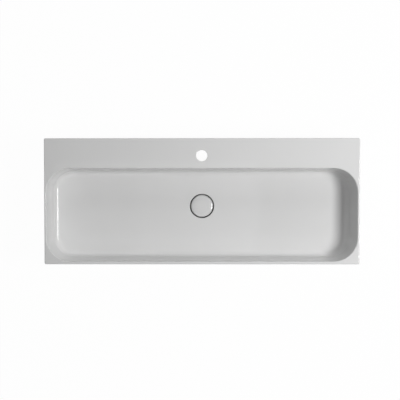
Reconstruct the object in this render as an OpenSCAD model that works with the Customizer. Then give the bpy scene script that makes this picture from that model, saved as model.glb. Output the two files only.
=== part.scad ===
// Wall-hung washbasin in glazed ceramic: one long rounded bowl, a tap ledge along the wall
// and a push-open waste under a round ceramic cover.
// +Z is up, +Y points at the wall and X runs along the basin. The origin lies midway
// between the two wall bolt holes, on the back face.

/* [Basin] */
// Width along the wall
basin_w = 1000; // [800:10:1200]
// Depth from the wall to the front edge
basin_d = 400; // [380:5:450]
// Height from the bottom edge to the rim
basin_h = 140; // [135:1:170]
// Radius of the upright outer corners
corner_r = 5; // [4:1:9]
// Rounding of the outer rim edge
rim_round = 2.5; // [1:0.5:3]
// Thickness of the skirt walls
skirt_t = 10; // [8:1:12]
// Thickness of the tap ledge
ledge_t = 14; // [12:1:18]
// Thickness of the webs under the ledge
web_t = 10; // [8:1:14]
// Distance of each web from the middle
web_x = 250; // [220:5:300]

/* [Bowl] */
// Width of the ledge between the back face and the bowl
ledge_d = 95; // [85:1:105]
// Width of the front rim
front_rim = 9; // [7:0.5:14]
// Width of each side rim
side_rim = 6.7; // [6.6:0.1:14]
// Plan radius of the bowl corners at the rim
bowl_r = 76; // [60:1:90]
// Slope of the bowl walls from upright, in degrees
wall_draft = 4.5; // [3:0.5:8]
// Rounding between the bowl walls and the floor
bowl_fillet = 19; // [14:1:34]
// Rounding of the bowl's upper edge
lip_round = 3; // [2:0.5:3.5]
// Depth of the bowl at the foot of its walls
bowl_depth = 97; // [85:1:98]
// Fall of the floor from the walls to the drain
floor_fall = 3; // [2:1:6]
// Thickness of the bowl's shell
shell_t = 10; // [8:1:12]

/* [Holes in the basin] */
// Radius of the tap hole
tap_r = 18; // [16:0.5:19]
// Distance of the tap hole from the back face
tap_y = 55; // [45:1:58]
// Distance of the drain from the back face
drain_y = 218; // [205:1:240]
// Radius of the recess round the drain cover
recess_r = 40; // [39:0.5:44]
// Radius of the hole for the waste
drain_r = 23; // [22:0.5:24]
// Thickness of the ceramic under the waste flange
seat_t = 12; // [10:1:16]
// Depth of the wall bolts below the rim
bolt_drop = 75; // [65:1:90]
// Distance between the wall bolts
bolt_spacing = 280; // [200:10:400]
// Radius of the wall bolt holes
bolt_hole_r = 7; // [5.5:0.5:8]

/* [Waste] */
// Radius of the waste flange
flange_r = 31.5; // [30:0.5:33]
// Thickness of the waste flange
flange_t = 3; // [2:0.5:4]
// Outer radius of the waste tube, the G 1 1/4 pipe size
tube_r = 20.95; // [20.95]
// Inner radius of the waste tube
tube_bore_r = 18.5; // [18:0.1:19]
// Length of the waste below its flange
tail_length = 92; // [90:1:120]
// Thickness of the gasket under the flange
gasket_t = 2; // [1.5:0.5:3]
// Thickness of the back nut
nut_t = 8; // [6:1:10]

/* [Drain cover] */
// Radius of the ceramic cover
cover_r = 36; // [34:0.5:36.5]
// Thickness of the ceramic cover at its edge
cover_t = 8; // [7:0.5:9]
// Height of the cover's crown above its edge
cover_crown = 1; // [0.5:0.5:2]
// Rounding of the cover's upper edge
cover_round = 3; // [2:0.5:4]
// Travel of the cover from closed to open
cover_lift = 10; // [6:1:10]
// Share of that travel at which the cover is drawn
cover_open = 0; // [0:0.1:1]

/* [Cartridge] */
// Outer radius of the cartridge sleeve
sleeve_r = 10.5; // [10:0.5:11]
// Inner radius of the cartridge sleeve
sleeve_bore_r = 9; // [8.8:0.1:9]
// Outer radius of the plunger
plunger_r = 5.8; // [5.5:0.1:6]
// Radius of the threaded stem
stem_r = 4; // [3:0.5:4]
// Gap round the moving parts of the cartridge
slide_gap = 0.3; // [0.25:0.05:0.35]

/* [Hidden] */
$fn = 64;
arc_steps = 7;
bite = 1;

// Levels of the basin, from the rim down
rim_z = bolt_drop;
bottom_z = rim_z - basin_h;
edge_floor_z = rim_z - bowl_depth;
floor_z = edge_floor_z - floor_fall;
shell_bottom_z = floor_z - shell_t;

// Plan of the bowl
bowl_w = basin_w - 2 * side_rim;
bowl_d = basin_d - ledge_d - front_rim;
bowl_y = -ledge_d - bowl_d / 2;
bowl_run = -wall_foot(0, bowl_depth, bowl_fillet)[arc_steps][0];
fall_inset = 2;
fall_margin = 5;
recess_lip = 1.5;
boss_r = recess_r + shell_t;
boss_taper = 8;
web_foot = 20;

// Levels of the stack under the cover, from its edge down
cover_chamfer = 1;
pad_t = 1;
pad_r = 26;
pad_bore_r = stem_r + 1;
carrier_t = 3.6;
carrier_r = 28;
seal_t = 2;
seal_r = 27;
seal_bore_r = 20;
seat_gap = 0.4;
cover_sink = 0.5;
crown_steps = 6;
cover_edge_z = floor_z - cover_sink;
cover_bottom_z = floor_z - cover_t;
pad_bottom_z = cover_bottom_z - pad_t;
carrier_bottom_z = pad_bottom_z - carrier_t;
seal_bottom_z = carrier_bottom_z - seal_t;
flange_top_z = seal_bottom_z - seat_gap;
flange_bottom_z = flange_top_z - flange_t;
shelf_z = flange_bottom_z - gasket_t;
boss_bottom_z = shelf_z - seat_t;
tail_z = flange_bottom_z - tail_length;

// Stack under the basin, from the boss down
cone_t = 6;
cone_nose = 3;
nose_gap = 0.4;
nose_tip_t = 0.6;
slip_t = 1.5;
cone_bottom_z = boss_bottom_z - cone_t;
slip_bottom_z = cone_bottom_z - slip_t;
nut_bottom_z = slip_bottom_z - nut_t;
washer_r = 30;
thread_gap = 0.1;
relief_w = 2;
relief_depth = 0.4;
relief_z = nut_bottom_z - 1;
nut_sides = 8;

// Edges of the waste and its gasket
mouth_bevel = 3;
flange_bevel = 1;
gasket_margin = 0.5;

// Levels of the cartridge, from its cap down
cap_drop = 6.5;
cap_top_z = flange_top_z - cap_drop;
cap_t = 2.5;
cap_skirt = 4;
cap_wall = 1.2;
wiper_r = 0.7;
wiper_groove_r = plunger_r + 1.7;
wiper_groove_z = cap_top_z - 1.75;
sleeve_top_z = cap_top_z - cap_t;

// Levels of the plunger with the cover closed
plunger_stand = 2.5;
plunger_top_z = cap_top_z + plunger_stand;
room_above_rotor = 5;
shoulder_z = sleeve_top_z - cover_lift - room_above_rotor;
tail_pin_r = 3.2;
tail_pin_length = 13;
rotor_t = 8.6;
rotor_r = 7;
rotor_rib_r = sleeve_bore_r - 0.5;
rotor_rib_w = 3;
rotor_rib_t = 6.6;
rotor_rib_step = 45;
rotor_gap = 0.4;
rotor_bottom_z = shoulder_z - rotor_gap - rotor_t;
spring_seat_t = 2.6;
spring_seat_top_z = rotor_bottom_z - rotor_gap;
spring_seat_bottom_z = spring_seat_top_z - spring_seat_t;
spring_seat_r = 7.2;
lock_nut_t = 4;
lock_nut_r = 7.5;
lock_nut_bottom_z = carrier_bottom_z - lock_nut_t;
stem_reach = 14;
stem_bottom_z = plunger_top_z - stem_reach;

// Levels of the spring, the sleeve's floor and the hub that carries it
spring_r = 7;
spring_bore_r = 4.8;
spring_length = 16;
spring_z = spring_seat_bottom_z - spring_length;
sleeve_floor_t = 2;
sleeve_bottom_z = spring_z - sleeve_floor_t;
spigot_r = 5;
spigot_length = 9;
hub_r = 9;
hub_t = 8;
hub_bottom_z = sleeve_bottom_z - hub_t;
arm_w = 3;
arm_t = 6;
arm_z = hub_bottom_z + (hub_t - arm_t) / 2;

// Colours
ceramic_white = [0.90, 0.90, 0.89];
chrome_grey = [0.75, 0.76, 0.78];
rubber_black = [0.10, 0.10, 0.11];
plastic_white = [0.86, 0.86, 0.84];
steel_grey = [0.62, 0.63, 0.65];
brass_yellow = [0.80, 0.65, 0.36];
rotor_blue = [0.35, 0.50, 0.62];

// Points of an arc about a centre, from one angle to another
function arc(x, z, r, from, to) = [
    for (i = [0 : arc_steps])
        let (a = from + (to - from) * i / arc_steps)
        [x + r * cos(a), z + r * sin(a)]
];

// Foot of a sloping wall: the arc that joins it to a floor. x is counted outwards from the
// plan line at the rim, where the wall starts at x = start, and z from the rim.
function wall_foot(start, depth, r) =
    let (
        foot_depth = depth - r * (1 - sin(wall_draft)),
        centre_x = start - tan(wall_draft) * foot_depth - r * cos(wall_draft)
    )
    arc(centre_x, r - depth, r, -wall_draft, -90);

// Upper edge of the bowl: the arc that joins the rim to the wall
function wall_lip(r) =
    let (centre_x = r * cos(wall_draft) - tan(wall_draft) * r * (1 - sin(wall_draft)))
    concat([[centre_x, bite]], arc(centre_x, -r, r, 90, 180 - wall_draft));

// Both sides of a cross-section whose half-width is counted to the plan line
function section(half, side) = concat(
    [for (p = side) [half + p[0], p[1]]],
    [for (i = [len(side) - 1 : -1 : 0]) [-half - side[i][0], side[i][1]]]
);

// Solid with a rounded rectangle as its plan, whose wall follows the points in side
module pan(w, d, r, side) {
    top = side[0][1];
    low = side[len(side) - 1][1];
    for (corner = [[1, 1, 0], [-1, 1, 90], [-1, -1, 180], [1, -1, 270]])
        translate([corner[0] * (w / 2 - r), corner[1] * (d / 2 - r), 0])
            rotate([0, 0, corner[2]])
                rotate_extrude(angle = 90)
                    polygon(concat([[0, top]], [for (p = side) [r + p[0], p[1]]], [[0, low]]));
    rotate([90, 0, 90]) linear_extrude(w - 2 * r, center = true) polygon(section(d / 2, side));
    rotate([90, 0, 0]) linear_extrude(d - 2 * r, center = true) polygon(section(w / 2, side));
}

// Upright disc between two levels
module disc(r, low_z, top_z, sides = $fn) {
    translate([0, 0, low_z]) cylinder(r = r, h = top_z - low_z, $fn = sides);
}

// Cutter for an upright hole between two levels, which runs a little past both
module hole(r, low_z, top_z) {
    disc(r, low_z - bite, top_z + bite);
}

// Flat ring between two levels
module ring(outer_r, inner_r, low_z, top_z) {
    difference() {
        disc(outer_r, low_z, top_z);
        hole(inner_r, low_z, top_z);
    }
}

// Moves what is built round the Z axis to the drain
module at_drain() {
    translate([0, -drain_y, 0]) children();
}

// Does the same for what rises with the cover
module on_cover() {
    translate([0, -drain_y, cover_lift * cover_open]) children();
}

// Outside of the basin, with the rim's outer edge rounded
module basin_block() {
    side = concat(arc(-rim_round, -rim_round, rim_round, 90, 0), [[0, -basin_h]]);
    translate([0, -basin_d / 2, rim_z]) pan(basin_w, basin_d, corner_r, side);
}

// Space inside the skirt and under the ledge, open at the bottom
module underside_space() {
    translate([0, -basin_d / 2, rim_z])
        pan(basin_w - 2 * skirt_t, basin_d - 2 * skirt_t, corner_r, [[0, -ledge_t], [0, -basin_h - bite]]);
}

// Outside of the bowl's shell, as deep as the drain all over
module bowl_shell() {
    depth = bowl_depth + floor_fall + shell_t;
    start = shell_t / cos(wall_draft);
    side = concat([[start, -ledge_t / 2]], wall_foot(start, depth, bowl_fillet + shell_t));
    translate([0, bowl_y, rim_z]) pan(bowl_w, bowl_d, bowl_r, side);
}

// Inside of the bowl, down to the foot of its walls
module bowl_space() {
    side = concat(wall_lip(lip_round), wall_foot(0, bowl_depth, bowl_fillet));
    translate([0, bowl_y, rim_z]) pan(bowl_w, bowl_d, bowl_r, side);
}

// Wedge of the floor that falls from the walls to the drain
module floor_space() {
    hull() {
        for (x = [-1, 1], y = [-1, 1])
            translate([x * (bowl_w / 2 - bowl_r), bowl_y + y * (bowl_d / 2 - bowl_r), 0])
                disc(bowl_r - bowl_run - fall_inset, edge_floor_z, edge_floor_z + bite, 32);
        at_drain() disc(recess_r + fall_margin, floor_z, floor_z + bite, 32);
    }
}

// Recess for the cover and the hole for the waste, with a rounded upper lip
module drain_space() {
    lip_r = recess_r + recess_lip;
    at_drain() {
        rotate_extrude()
            polygon(concat(
                [[0, floor_z + bite], [lip_r, floor_z + bite]],
                arc(lip_r, floor_z - recess_lip, recess_lip, 90, 180),
                [[recess_r, shelf_z], [0, shelf_z]]
            ));
        hole(drain_r, boss_bottom_z, shelf_z);
    }
}

// Two webs that stiffen the ledge
module ledge_webs() {
    reach = ledge_d + shell_t;
    for (x = [-1, 1])
        translate([x * web_x - web_t / 2, -reach, bottom_z + web_foot])
            cube([web_t, reach - skirt_t / 2, basin_h - ledge_t / 2 - web_foot]);
}

// Boss under the drain, narrower at its foot
module drain_boss() {
    height = shell_bottom_z + bite - boss_bottom_z;
    at_drain() translate([0, 0, boss_bottom_z])
        cylinder(r1 = boss_r - boss_taper, r2 = boss_r, h = height);
}

// The basin, fired in one piece
module basin() {
    color(ceramic_white)
        difference() {
            union() {
                difference() {
                    basin_block();
                    underside_space();
                }
                intersection() {
                    basin_block();
                    union() {
                        bowl_shell();
                        ledge_webs();
                    }
                }
                drain_boss();
            }
            bowl_space();
            floor_space();
            drain_space();
            translate([0, -tap_y, 0]) hole(tap_r, rim_z - ledge_t, rim_z);
            for (x = [-1, 1])
                translate([x * bolt_spacing / 2, 0, 0]) rotate([90, 0, 0]) hole(bolt_hole_r, 0, skirt_t);
        }
}

// Ceramic cover over the drain, slightly crowned, with a rounded edge
module drain_cover() {
    flat_r = cover_r - cover_round;
    crown = [
        for (i = [crown_steps - 1 : -1 : 0])
            let (t = i / crown_steps)
            [flat_r * t, cover_edge_z + cover_crown * (1 - t * t)]
    ];
    color(ceramic_white)
        on_cover() rotate_extrude()
            polygon(concat(
                [[0, cover_bottom_z], [cover_r - cover_chamfer, cover_bottom_z]],
                [[cover_r, cover_bottom_z + cover_chamfer]],
                arc(flat_r, cover_edge_z - cover_round, cover_round, 0, 90),
                crown
            ));
}

// Soft pad that beds the ceramic cover on its carrier
module cover_pad() {
    color(rubber_black) on_cover() ring(pad_r, pad_bore_r, pad_bottom_z, cover_bottom_z);
}

// Metal disc that carries the ceramic cover and screws on to the stem
module cover_carrier() {
    color(chrome_grey) on_cover() ring(carrier_r, stem_r + thread_gap, carrier_bottom_z, pad_bottom_z);
}

// Rubber ring that shuts the waste when the cover is down
module plug_seal() {
    color(rubber_black) on_cover() ring(seal_r, seal_bore_r, seal_bottom_z, carrier_bottom_z);
}

// Nut that locks the stem at the chosen height
module stem_lock_nut() {
    color(steel_grey)
        on_cover() difference() {
            disc(lock_nut_r, lock_nut_bottom_z, carrier_bottom_z, 6);
            hole(stem_r + thread_gap, lock_nut_bottom_z, carrier_bottom_z);
        }
}

// Threaded stem between the carrier and the plunger
module cover_stem() {
    color(steel_grey) on_cover() disc(stem_r, stem_bottom_z, pad_bottom_z);
}

// Plunger of the cartridge, with a socket for the stem and a pin for the rotor
module plunger() {
    color(plastic_white)
        on_cover() difference() {
            union() {
                disc(plunger_r, shoulder_z, plunger_top_z);
                disc(tail_pin_r, shoulder_z - tail_pin_length, shoulder_z + bite);
            }
            hole(stem_r + thread_gap, stem_bottom_z, plunger_top_z);
        }
}

// Rotor that turns by one rib for each stroke of the plunger
module cam_rotor() {
    color(rotor_blue)
        on_cover() rotate([0, 0, rotor_rib_step * cover_open]) difference() {
            union() {
                disc(rotor_r, rotor_bottom_z, rotor_bottom_z + rotor_t);
                intersection() {
                    disc(rotor_rib_r, rotor_bottom_z, rotor_bottom_z + rotor_rib_t);
                    for (turn = [0 : rotor_rib_step : 179])
                        rotate([0, 0, turn]) translate([-sleeve_r, -rotor_rib_w / 2, rotor_bottom_z])
                            cube([2 * sleeve_r, rotor_rib_w, rotor_t]);
                }
            }
            hole(tail_pin_r + slide_gap, rotor_bottom_z, rotor_bottom_z + rotor_t);
        }
}

// Seat that keeps the rotor on its pin and takes the spring
module spring_seat() {
    color(steel_grey)
        on_cover() ring(spring_seat_r, tail_pin_r + thread_gap, spring_seat_bottom_z, spring_seat_top_z);
}

// Spring that lifts the cover, shown as the space its coil fills inside the sleeve
module cartridge_spring() {
    top_z = spring_seat_bottom_z + cover_lift * cover_open;
    color(steel_grey) at_drain() ring(spring_r, spring_bore_r, spring_z, top_z);
}

// Cap that closes the sleeve and guides the plunger
module cartridge_cap() {
    skirt_z = sleeve_top_z - cap_skirt;
    color(plastic_white)
        at_drain() difference() {
            disc(sleeve_r + cap_wall, skirt_z, cap_top_z);
            disc(sleeve_r + thread_gap, skirt_z - bite, sleeve_top_z);
            hole(plunger_r + slide_gap, sleeve_top_z, cap_top_z);
            disc(wiper_groove_r, wiper_groove_z, cap_top_z + bite);
        }
}

// Ring in the cap that wipes the plunger clean
module plunger_seal() {
    color(rubber_black)
        at_drain() translate([0, 0, wiper_groove_z + wiper_r])
            rotate_extrude() translate([plunger_r + slide_gap + wiper_r, 0]) circle(r = wiper_r, $fn = 24);
}

// Sleeve of the cartridge, with a spigot that screws into the waste
module cartridge_sleeve() {
    color(plastic_white)
        at_drain() {
            difference() {
                disc(sleeve_r, sleeve_bottom_z, sleeve_top_z);
                disc(sleeve_bore_r, spring_z, sleeve_top_z + bite);
            }
            disc(spigot_r, sleeve_bottom_z - spigot_length, sleeve_bottom_z + bite);
        }
}

// Half section of the flange and the tube, with a groove below the nut
module waste_section() {
    groove_r = tube_r - relief_depth;
    polygon([
        [tube_bore_r, tail_z], [tube_r, tail_z],
        [tube_r, relief_z - relief_w], [groove_r, relief_z - relief_w],
        [groove_r, relief_z], [tube_r, relief_z],
        [tube_r, flange_bottom_z], [flange_r, flange_bottom_z],
        [flange_r, flange_top_z - flange_bevel], [flange_r - flange_bevel, flange_top_z],
        [tube_bore_r + mouth_bevel, flange_top_z], [tube_bore_r, flange_top_z - mouth_bevel]
    ]);
}

// Waste body: flange, threaded tube and the three arms that hold the cartridge
module waste_body() {
    color(chrome_grey)
        at_drain() {
            rotate_extrude() waste_section();
            difference() {
                union() {
                    disc(hub_r, hub_bottom_z, sleeve_bottom_z);
                    for (turn = [90, 210, 330])
                        rotate([0, 0, turn]) translate([0, -arm_w / 2, arm_z])
                            cube([tube_bore_r + bite, arm_w, arm_t]);
                }
                hole(spigot_r + thread_gap, hub_bottom_z, sleeve_bottom_z);
            }
        }
}

// Gasket between the waste flange and the ceramic
module flange_gasket() {
    color(rubber_black)
        at_drain() ring(flange_r - gasket_margin, tube_r + gasket_margin, shelf_z, flange_bottom_z);
}

// Cone-shaped rubber washer that seals the hole from below
module cone_washer() {
    bore_r = tube_r + thread_gap;
    nose_top_z = boss_bottom_z + cone_nose;
    color(rubber_black)
        at_drain() rotate_extrude()
            polygon([
                [bore_r, cone_bottom_z], [washer_r, cone_bottom_z], [washer_r, boss_bottom_z],
                [drain_r - nose_gap, boss_bottom_z], [bore_r + nose_tip_t, nose_top_z], [bore_r, nose_top_z]
            ]);
}

// Plastic washer that lets the nut turn without dragging the rubber
module slip_washer() {
    color(plastic_white) at_drain() ring(washer_r, tube_r + thread_gap, slip_bottom_z, cone_bottom_z);
}

// Octagonal nut that clamps the waste to the basin
module back_nut() {
    color(brass_yellow)
        at_drain() difference() {
            rotate([0, 0, 180 / nut_sides]) disc(washer_r, nut_bottom_z, slip_bottom_z, nut_sides);
            hole(tube_r + thread_gap, nut_bottom_z, slip_bottom_z);
        }
}

basin();
drain_cover();
cover_pad();
cover_carrier();
plug_seal();
stem_lock_nut();
cover_stem();
plunger();
cam_rotor();
spring_seat();
cartridge_spring();
cartridge_cap();
plunger_seal();
cartridge_sleeve();
waste_body();
flange_gasket();
cone_washer();
slip_washer();
back_nut();
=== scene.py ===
import math

import bpy
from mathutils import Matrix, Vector


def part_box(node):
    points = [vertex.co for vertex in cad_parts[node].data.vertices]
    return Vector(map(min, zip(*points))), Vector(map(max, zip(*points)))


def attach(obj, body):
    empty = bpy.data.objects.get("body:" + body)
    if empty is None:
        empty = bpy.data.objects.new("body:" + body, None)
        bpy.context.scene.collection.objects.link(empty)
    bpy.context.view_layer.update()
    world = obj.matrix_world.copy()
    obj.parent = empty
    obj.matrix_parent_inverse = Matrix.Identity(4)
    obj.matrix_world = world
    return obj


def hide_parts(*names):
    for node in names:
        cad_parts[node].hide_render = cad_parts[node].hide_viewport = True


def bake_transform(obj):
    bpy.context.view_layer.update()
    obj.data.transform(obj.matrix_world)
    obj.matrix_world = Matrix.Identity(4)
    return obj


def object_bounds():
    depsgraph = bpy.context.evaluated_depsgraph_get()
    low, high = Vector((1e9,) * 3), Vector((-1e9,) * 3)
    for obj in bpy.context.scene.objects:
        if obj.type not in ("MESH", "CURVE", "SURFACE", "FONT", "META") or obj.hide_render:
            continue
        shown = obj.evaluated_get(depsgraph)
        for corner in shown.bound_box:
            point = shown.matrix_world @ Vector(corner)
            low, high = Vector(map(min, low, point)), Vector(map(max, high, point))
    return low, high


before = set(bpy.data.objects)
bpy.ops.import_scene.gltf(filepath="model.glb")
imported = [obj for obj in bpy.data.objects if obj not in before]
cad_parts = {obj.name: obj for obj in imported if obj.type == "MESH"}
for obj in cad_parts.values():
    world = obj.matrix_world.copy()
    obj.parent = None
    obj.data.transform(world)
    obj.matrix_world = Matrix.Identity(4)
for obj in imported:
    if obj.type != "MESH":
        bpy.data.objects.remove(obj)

cad_box = [list(corner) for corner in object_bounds()]

# Sizes are metres in the frame's axes: X along the basin, +Y to the wall, +Z up
mm = 0.001


def levels(node):
    """Lowest and highest level of a CAD node."""
    low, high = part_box(node)
    return low.z, high.z


basin_low, basin_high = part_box("basin")
cover_low, cover_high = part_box("drain_cover")
rim_z = basin_high.z
foot_z = basin_low.z
basin_w = basin_high.x - basin_low.x
basin_d = basin_high.y - basin_low.y
middle_y = (basin_low.y + basin_high.y) / 2
drain_x = (cover_low.x + cover_high.x) / 2
drain_y = (cover_low.y + cover_high.y) / 2
cover_r = (cover_high.x - cover_low.x) / 2

# Outside of the basin
corner_r = 5 * mm
rim_round = 2.5 * mm
foot_round = 1.5 * mm
skirt_t = 10 * mm
ledge_t = 14 * mm
web_t = 10 * mm
web_x = 250 * mm
web_foot = 20 * mm
web_round = 3 * mm

# Bowl. Its plan line is where the wall would meet the rim, and offsets count outwards from it
ledge_d = 95 * mm
front_rim = 9 * mm
side_rim = 6.7 * mm
bowl_r = 76 * mm
wall_draft = math.radians(4.5)
wall_fillet = 19 * mm
lip_r = 3 * mm
bowl_depth = 97 * mm
floor_fall = 3 * mm
shell_t = 10 * mm
bowl_w = basin_w - 2 * side_rim
bowl_d = basin_d - ledge_d - front_rim
bowl_y = basin_high.y - ledge_d - bowl_d / 2
edge_floor_z = rim_z - bowl_depth
floor_z = edge_floor_z - floor_fall

# Holes in the basin
tap_y = -55 * mm
tap_r = 18 * mm
tap_round = 1.2 * mm
recess_r = 40 * mm
recess_lip = 1.5 * mm
recess_corner = 1 * mm
drain_r = 23 * mm
drain_round = 1 * mm
bolt_x = 140 * mm
bolt_r = 7 * mm

# Waste and cartridge
tube_r = 20.95 * mm
tube_bore_r = 18.5 * mm
tube_root_r = 19.5 * mm
tube_pitch = 2.309 * mm
stem_r = 4 * mm
stem_root_r = 3.4 * mm
stem_pitch = 1.25 * mm
sleeve_r = 10.5 * mm
sleeve_bore_r = 9 * mm
sleeve_foot_t = 2 * mm
spigot_r = 5 * mm
plunger_r = 5.8 * mm
pin_r = 3.2 * mm
seal_bore_r = 20 * mm
fit_gap = 0.1 * mm
guide_gap = 0.3 * mm
# Threads and nuts are cut at 30 degrees
cut_slope = math.tan(math.radians(30))

# Steps of the bowl's loops, alike all the way down so that they can be bridged
corner_steps = 16
long_steps = 40
short_steps = 8
loop_count = 4 * corner_steps + 2 * long_steps + 2 * short_steps
floor_rings = 12
# Sides of turned pieces. A blank has a number of its own, so that its edges cross those of what it trims
small_sides = 48
usual_sides = 64
wide_sides = 96
blank_sides = 70
# A narrow strip beside each rounding keeps its shading off the flat faces
wide_strip = 0.4 * mm
fine_strip = 0.15 * mm
# Distances within which two levels are alike, and two points are one
alike = 0.01 * mm
one_point = 0.002 * mm


# Modelling moves

def edit():
    bpy.ops.object.mode_set(mode="EDIT")


def leave():
    bpy.ops.object.mode_set(mode="OBJECT")


def only(piece):
    """Makes a piece the only selected one."""
    bpy.ops.object.select_all(action="DESELECT")
    piece.select_set(True)
    bpy.context.view_layer.objects.active = piece


def take(name):
    """Names the primitive just added and puts its place into its mesh."""
    piece = bpy.context.object
    piece.name = name
    piece.data.name = name
    bpy.ops.object.transform_apply(location=True, rotation=True, scale=True)
    return piece


def pick(piece, kind, test):
    """Selects, in edit mode, the faces or edges whose middle and normal or direction pass a test."""
    edit()
    bpy.ops.mesh.select_mode(type=kind)
    bpy.ops.mesh.select_all(action="DESELECT")
    leave()
    mesh = piece.data
    if kind == "FACE":
        for face in mesh.polygons:
            face.select = test(face.center, face.normal)
    else:
        for edge in mesh.edges:
            a, b = (mesh.vertices[i].co for i in edge.vertices)
            edge.select = test((a + b) / 2, (b - a).normalized())
    edit()


def near(a, b):
    return abs(a - b) < alike


def level(z):
    """A test for edges that lie flat at a height."""
    return lambda middle, along: near(middle.z, z) and abs(along.z) < 0.01


def arc(x, z, r, start, end, steps):
    """Points of an arc about (x, z), from one angle to another, in degrees."""
    turns = [math.radians(start + (end - start) * i / steps) for i in range(steps + 1)]
    return [(x + r * math.cos(t), z + r * math.sin(t)) for t in turns]


def towards(a, b, distance):
    """Point at a distance from a on the way to b, at most half way."""
    share = min(distance / math.dist(a, b), 0.5)
    return a[0] + (b[0] - a[0]) * share, a[1] + (b[1] - a[1]) * share


def eased(corners, radius):
    """Closed section whose corners are rounded."""
    steps = 3
    points = []
    for i, corner in enumerate(corners):
        start = towards(corner, corners[i - 1], radius)
        end = towards(corner, corners[(i + 1) % len(corners)], radius)
        for t in [k / steps for k in range(steps + 1)]:
            points.append(tuple((1 - t) ** 2 * a + 2 * t * (1 - t) * c + t * t * b
                                for a, c, b in zip(start, corner, end)))
    return points + points[:1]


def with_strips(points, strip=fine_strip):
    """Adds a point near both ends of each long straight stretch."""
    out = []
    for a, b in zip(points, points[1:]):
        out.append(a)
        if math.dist(a, b) > 4 * strip:
            out += [towards(a, b, strip), towards(b, a, strip)]
    return out + points[-1:]


def sink(points):
    """Insets the selected face along a section of (offset outwards, height)."""
    for (x0, z0), (x1, z1) in zip(points, points[1:]):
        bpy.ops.mesh.inset(thickness=max(x0 - x1, 0), depth=z1 - z0, use_even_offset=True)


def close_open_edges():
    """Closes each open loop of the piece in edit mode with one face."""
    bpy.ops.mesh.select_mode(type="EDGE")
    bpy.ops.mesh.select_all(action="DESELECT")
    bpy.ops.mesh.select_non_manifold()
    bpy.ops.mesh.edge_face_add()


def face_outwards():
    """Merges doubles, points every face outwards and leaves edit mode."""
    bpy.ops.mesh.select_all(action="SELECT")
    bpy.ops.mesh.remove_doubles(threshold=one_point)
    bpy.ops.mesh.normals_make_consistent(inside=False)
    leave()


def rounded_plate(name, width, depth, radius, y, z, steps=corner_steps, cuts=None):
    """Flat face with rounded corners. Cuts divides its long and short sides into equal lengths."""
    bpy.ops.object.select_all(action="DESELECT")
    bpy.ops.mesh.primitive_plane_add(size=1, location=(0, y, z))
    bpy.context.object.scale = (width, depth, 1)
    plate = take(name)
    edit()
    bpy.ops.mesh.select_mode(type="VERT")
    bpy.ops.mesh.select_all(action="SELECT")
    bpy.ops.mesh.bevel(offset=radius, offset_type="OFFSET", segments=steps, profile=0.5, affect="VERTICES")
    if cuts:
        bpy.ops.mesh.delete(type="ONLY_FACE")
        pick(plate, "EDGE", lambda middle, along: near(abs(middle.y - y), depth / 2))
        bpy.ops.mesh.subdivide(number_cuts=cuts[0] - 1)
        pick(plate, "EDGE", lambda middle, along: near(abs(middle.x), width / 2))
        bpy.ops.mesh.subdivide(number_cuts=cuts[1] - 1)
        bpy.ops.mesh.select_all(action="SELECT")
        bpy.ops.mesh.edge_face_add()
    bpy.ops.mesh.select_mode(type="FACE")
    bpy.ops.mesh.select_all(action="SELECT")
    plate.update_from_editmode()
    if plate.data.polygons[0].normal.z < 0:
        bpy.ops.mesh.flip_normals()
    return plate


def add_loop(name, radius, z, count, fill="NOTHING", x=drain_x, y=drain_y, turn=0):
    """Level circle of edges, or a round face."""
    bpy.ops.object.select_all(action="DESELECT")
    bpy.ops.mesh.primitive_circle_add(vertices=count, radius=radius, location=(x, y, z),
                                      rotation=(0, 0, turn), fill_type=fill)
    return take(name)


def sunk_disc(name, section, count=usual_sides, **place):
    """Round face that is inset along a section, left open at its first loop."""
    piece = add_loop(name, section[0][0], section[0][1], count, "NGON", **place)
    edit()
    bpy.ops.mesh.select_mode(type="FACE")
    bpy.ops.mesh.select_all(action="SELECT")
    sink(section)
    return piece


def lathe(name, section, count=usual_sides, pole=False):
    """Turns a section of (radius, height) about the drain's axis, with closed ends or a pole at the last."""
    section = with_strips(section)
    piece = add_loop(name, section[0][0], section[0][1], count)
    edit()
    bpy.ops.mesh.select_mode(type="EDGE")
    bpy.ops.mesh.select_all(action="SELECT")
    for (r0, z0), (r1, z1) in zip(section, section[1:]):
        bpy.ops.mesh.extrude_region_move(TRANSFORM_OT_translate={"value": (0, 0, z1 - z0)})
        bpy.ops.transform.resize(value=(r1 / r0, r1 / r0, 1), center_override=(drain_x, drain_y, z1))
    if pole:
        bpy.ops.mesh.merge(type="CENTER")
    if section[0] != section[-1]:
        close_open_edges()
    face_outwards()
    return piece


def add_block(name, low, high):
    """Box between two corners."""
    bpy.ops.object.select_all(action="DESELECT")
    bpy.ops.mesh.primitive_cube_add(size=1, location=[(a + b) / 2 for a, b in zip(low, high)])
    bpy.context.object.scale = [b - a for a, b in zip(low, high)]
    return take(name)


def round_edges(piece, width, steps, test):
    """Rounds the edges that pass a test."""
    pick(piece, "EDGE", test)
    bpy.ops.mesh.bevel(offset=width, offset_type="OFFSET", segments=steps, profile=0.5, affect="EDGES")
    leave()


def turned_copies(piece, turns):
    """Copies of a piece beside the world's Z axis, each turned by an angle and moved to the drain's axis."""
    copies = []
    for turn in turns:
        only(piece)
        bpy.ops.object.duplicate()
        copy = bpy.context.object
        copy.rotation_euler = (0, 0, math.radians(turn))
        copy.location = (drain_x, drain_y, 0)
        bpy.ops.object.transform_apply(location=True, rotation=True, scale=True)
        copies.append(copy)
    bpy.data.objects.remove(piece)
    return copies


def join(first, *others):
    """Joins pieces into the first one."""
    only(first)
    for other in others:
        other.select_set(True)
    bpy.ops.object.join()
    return first


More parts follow.
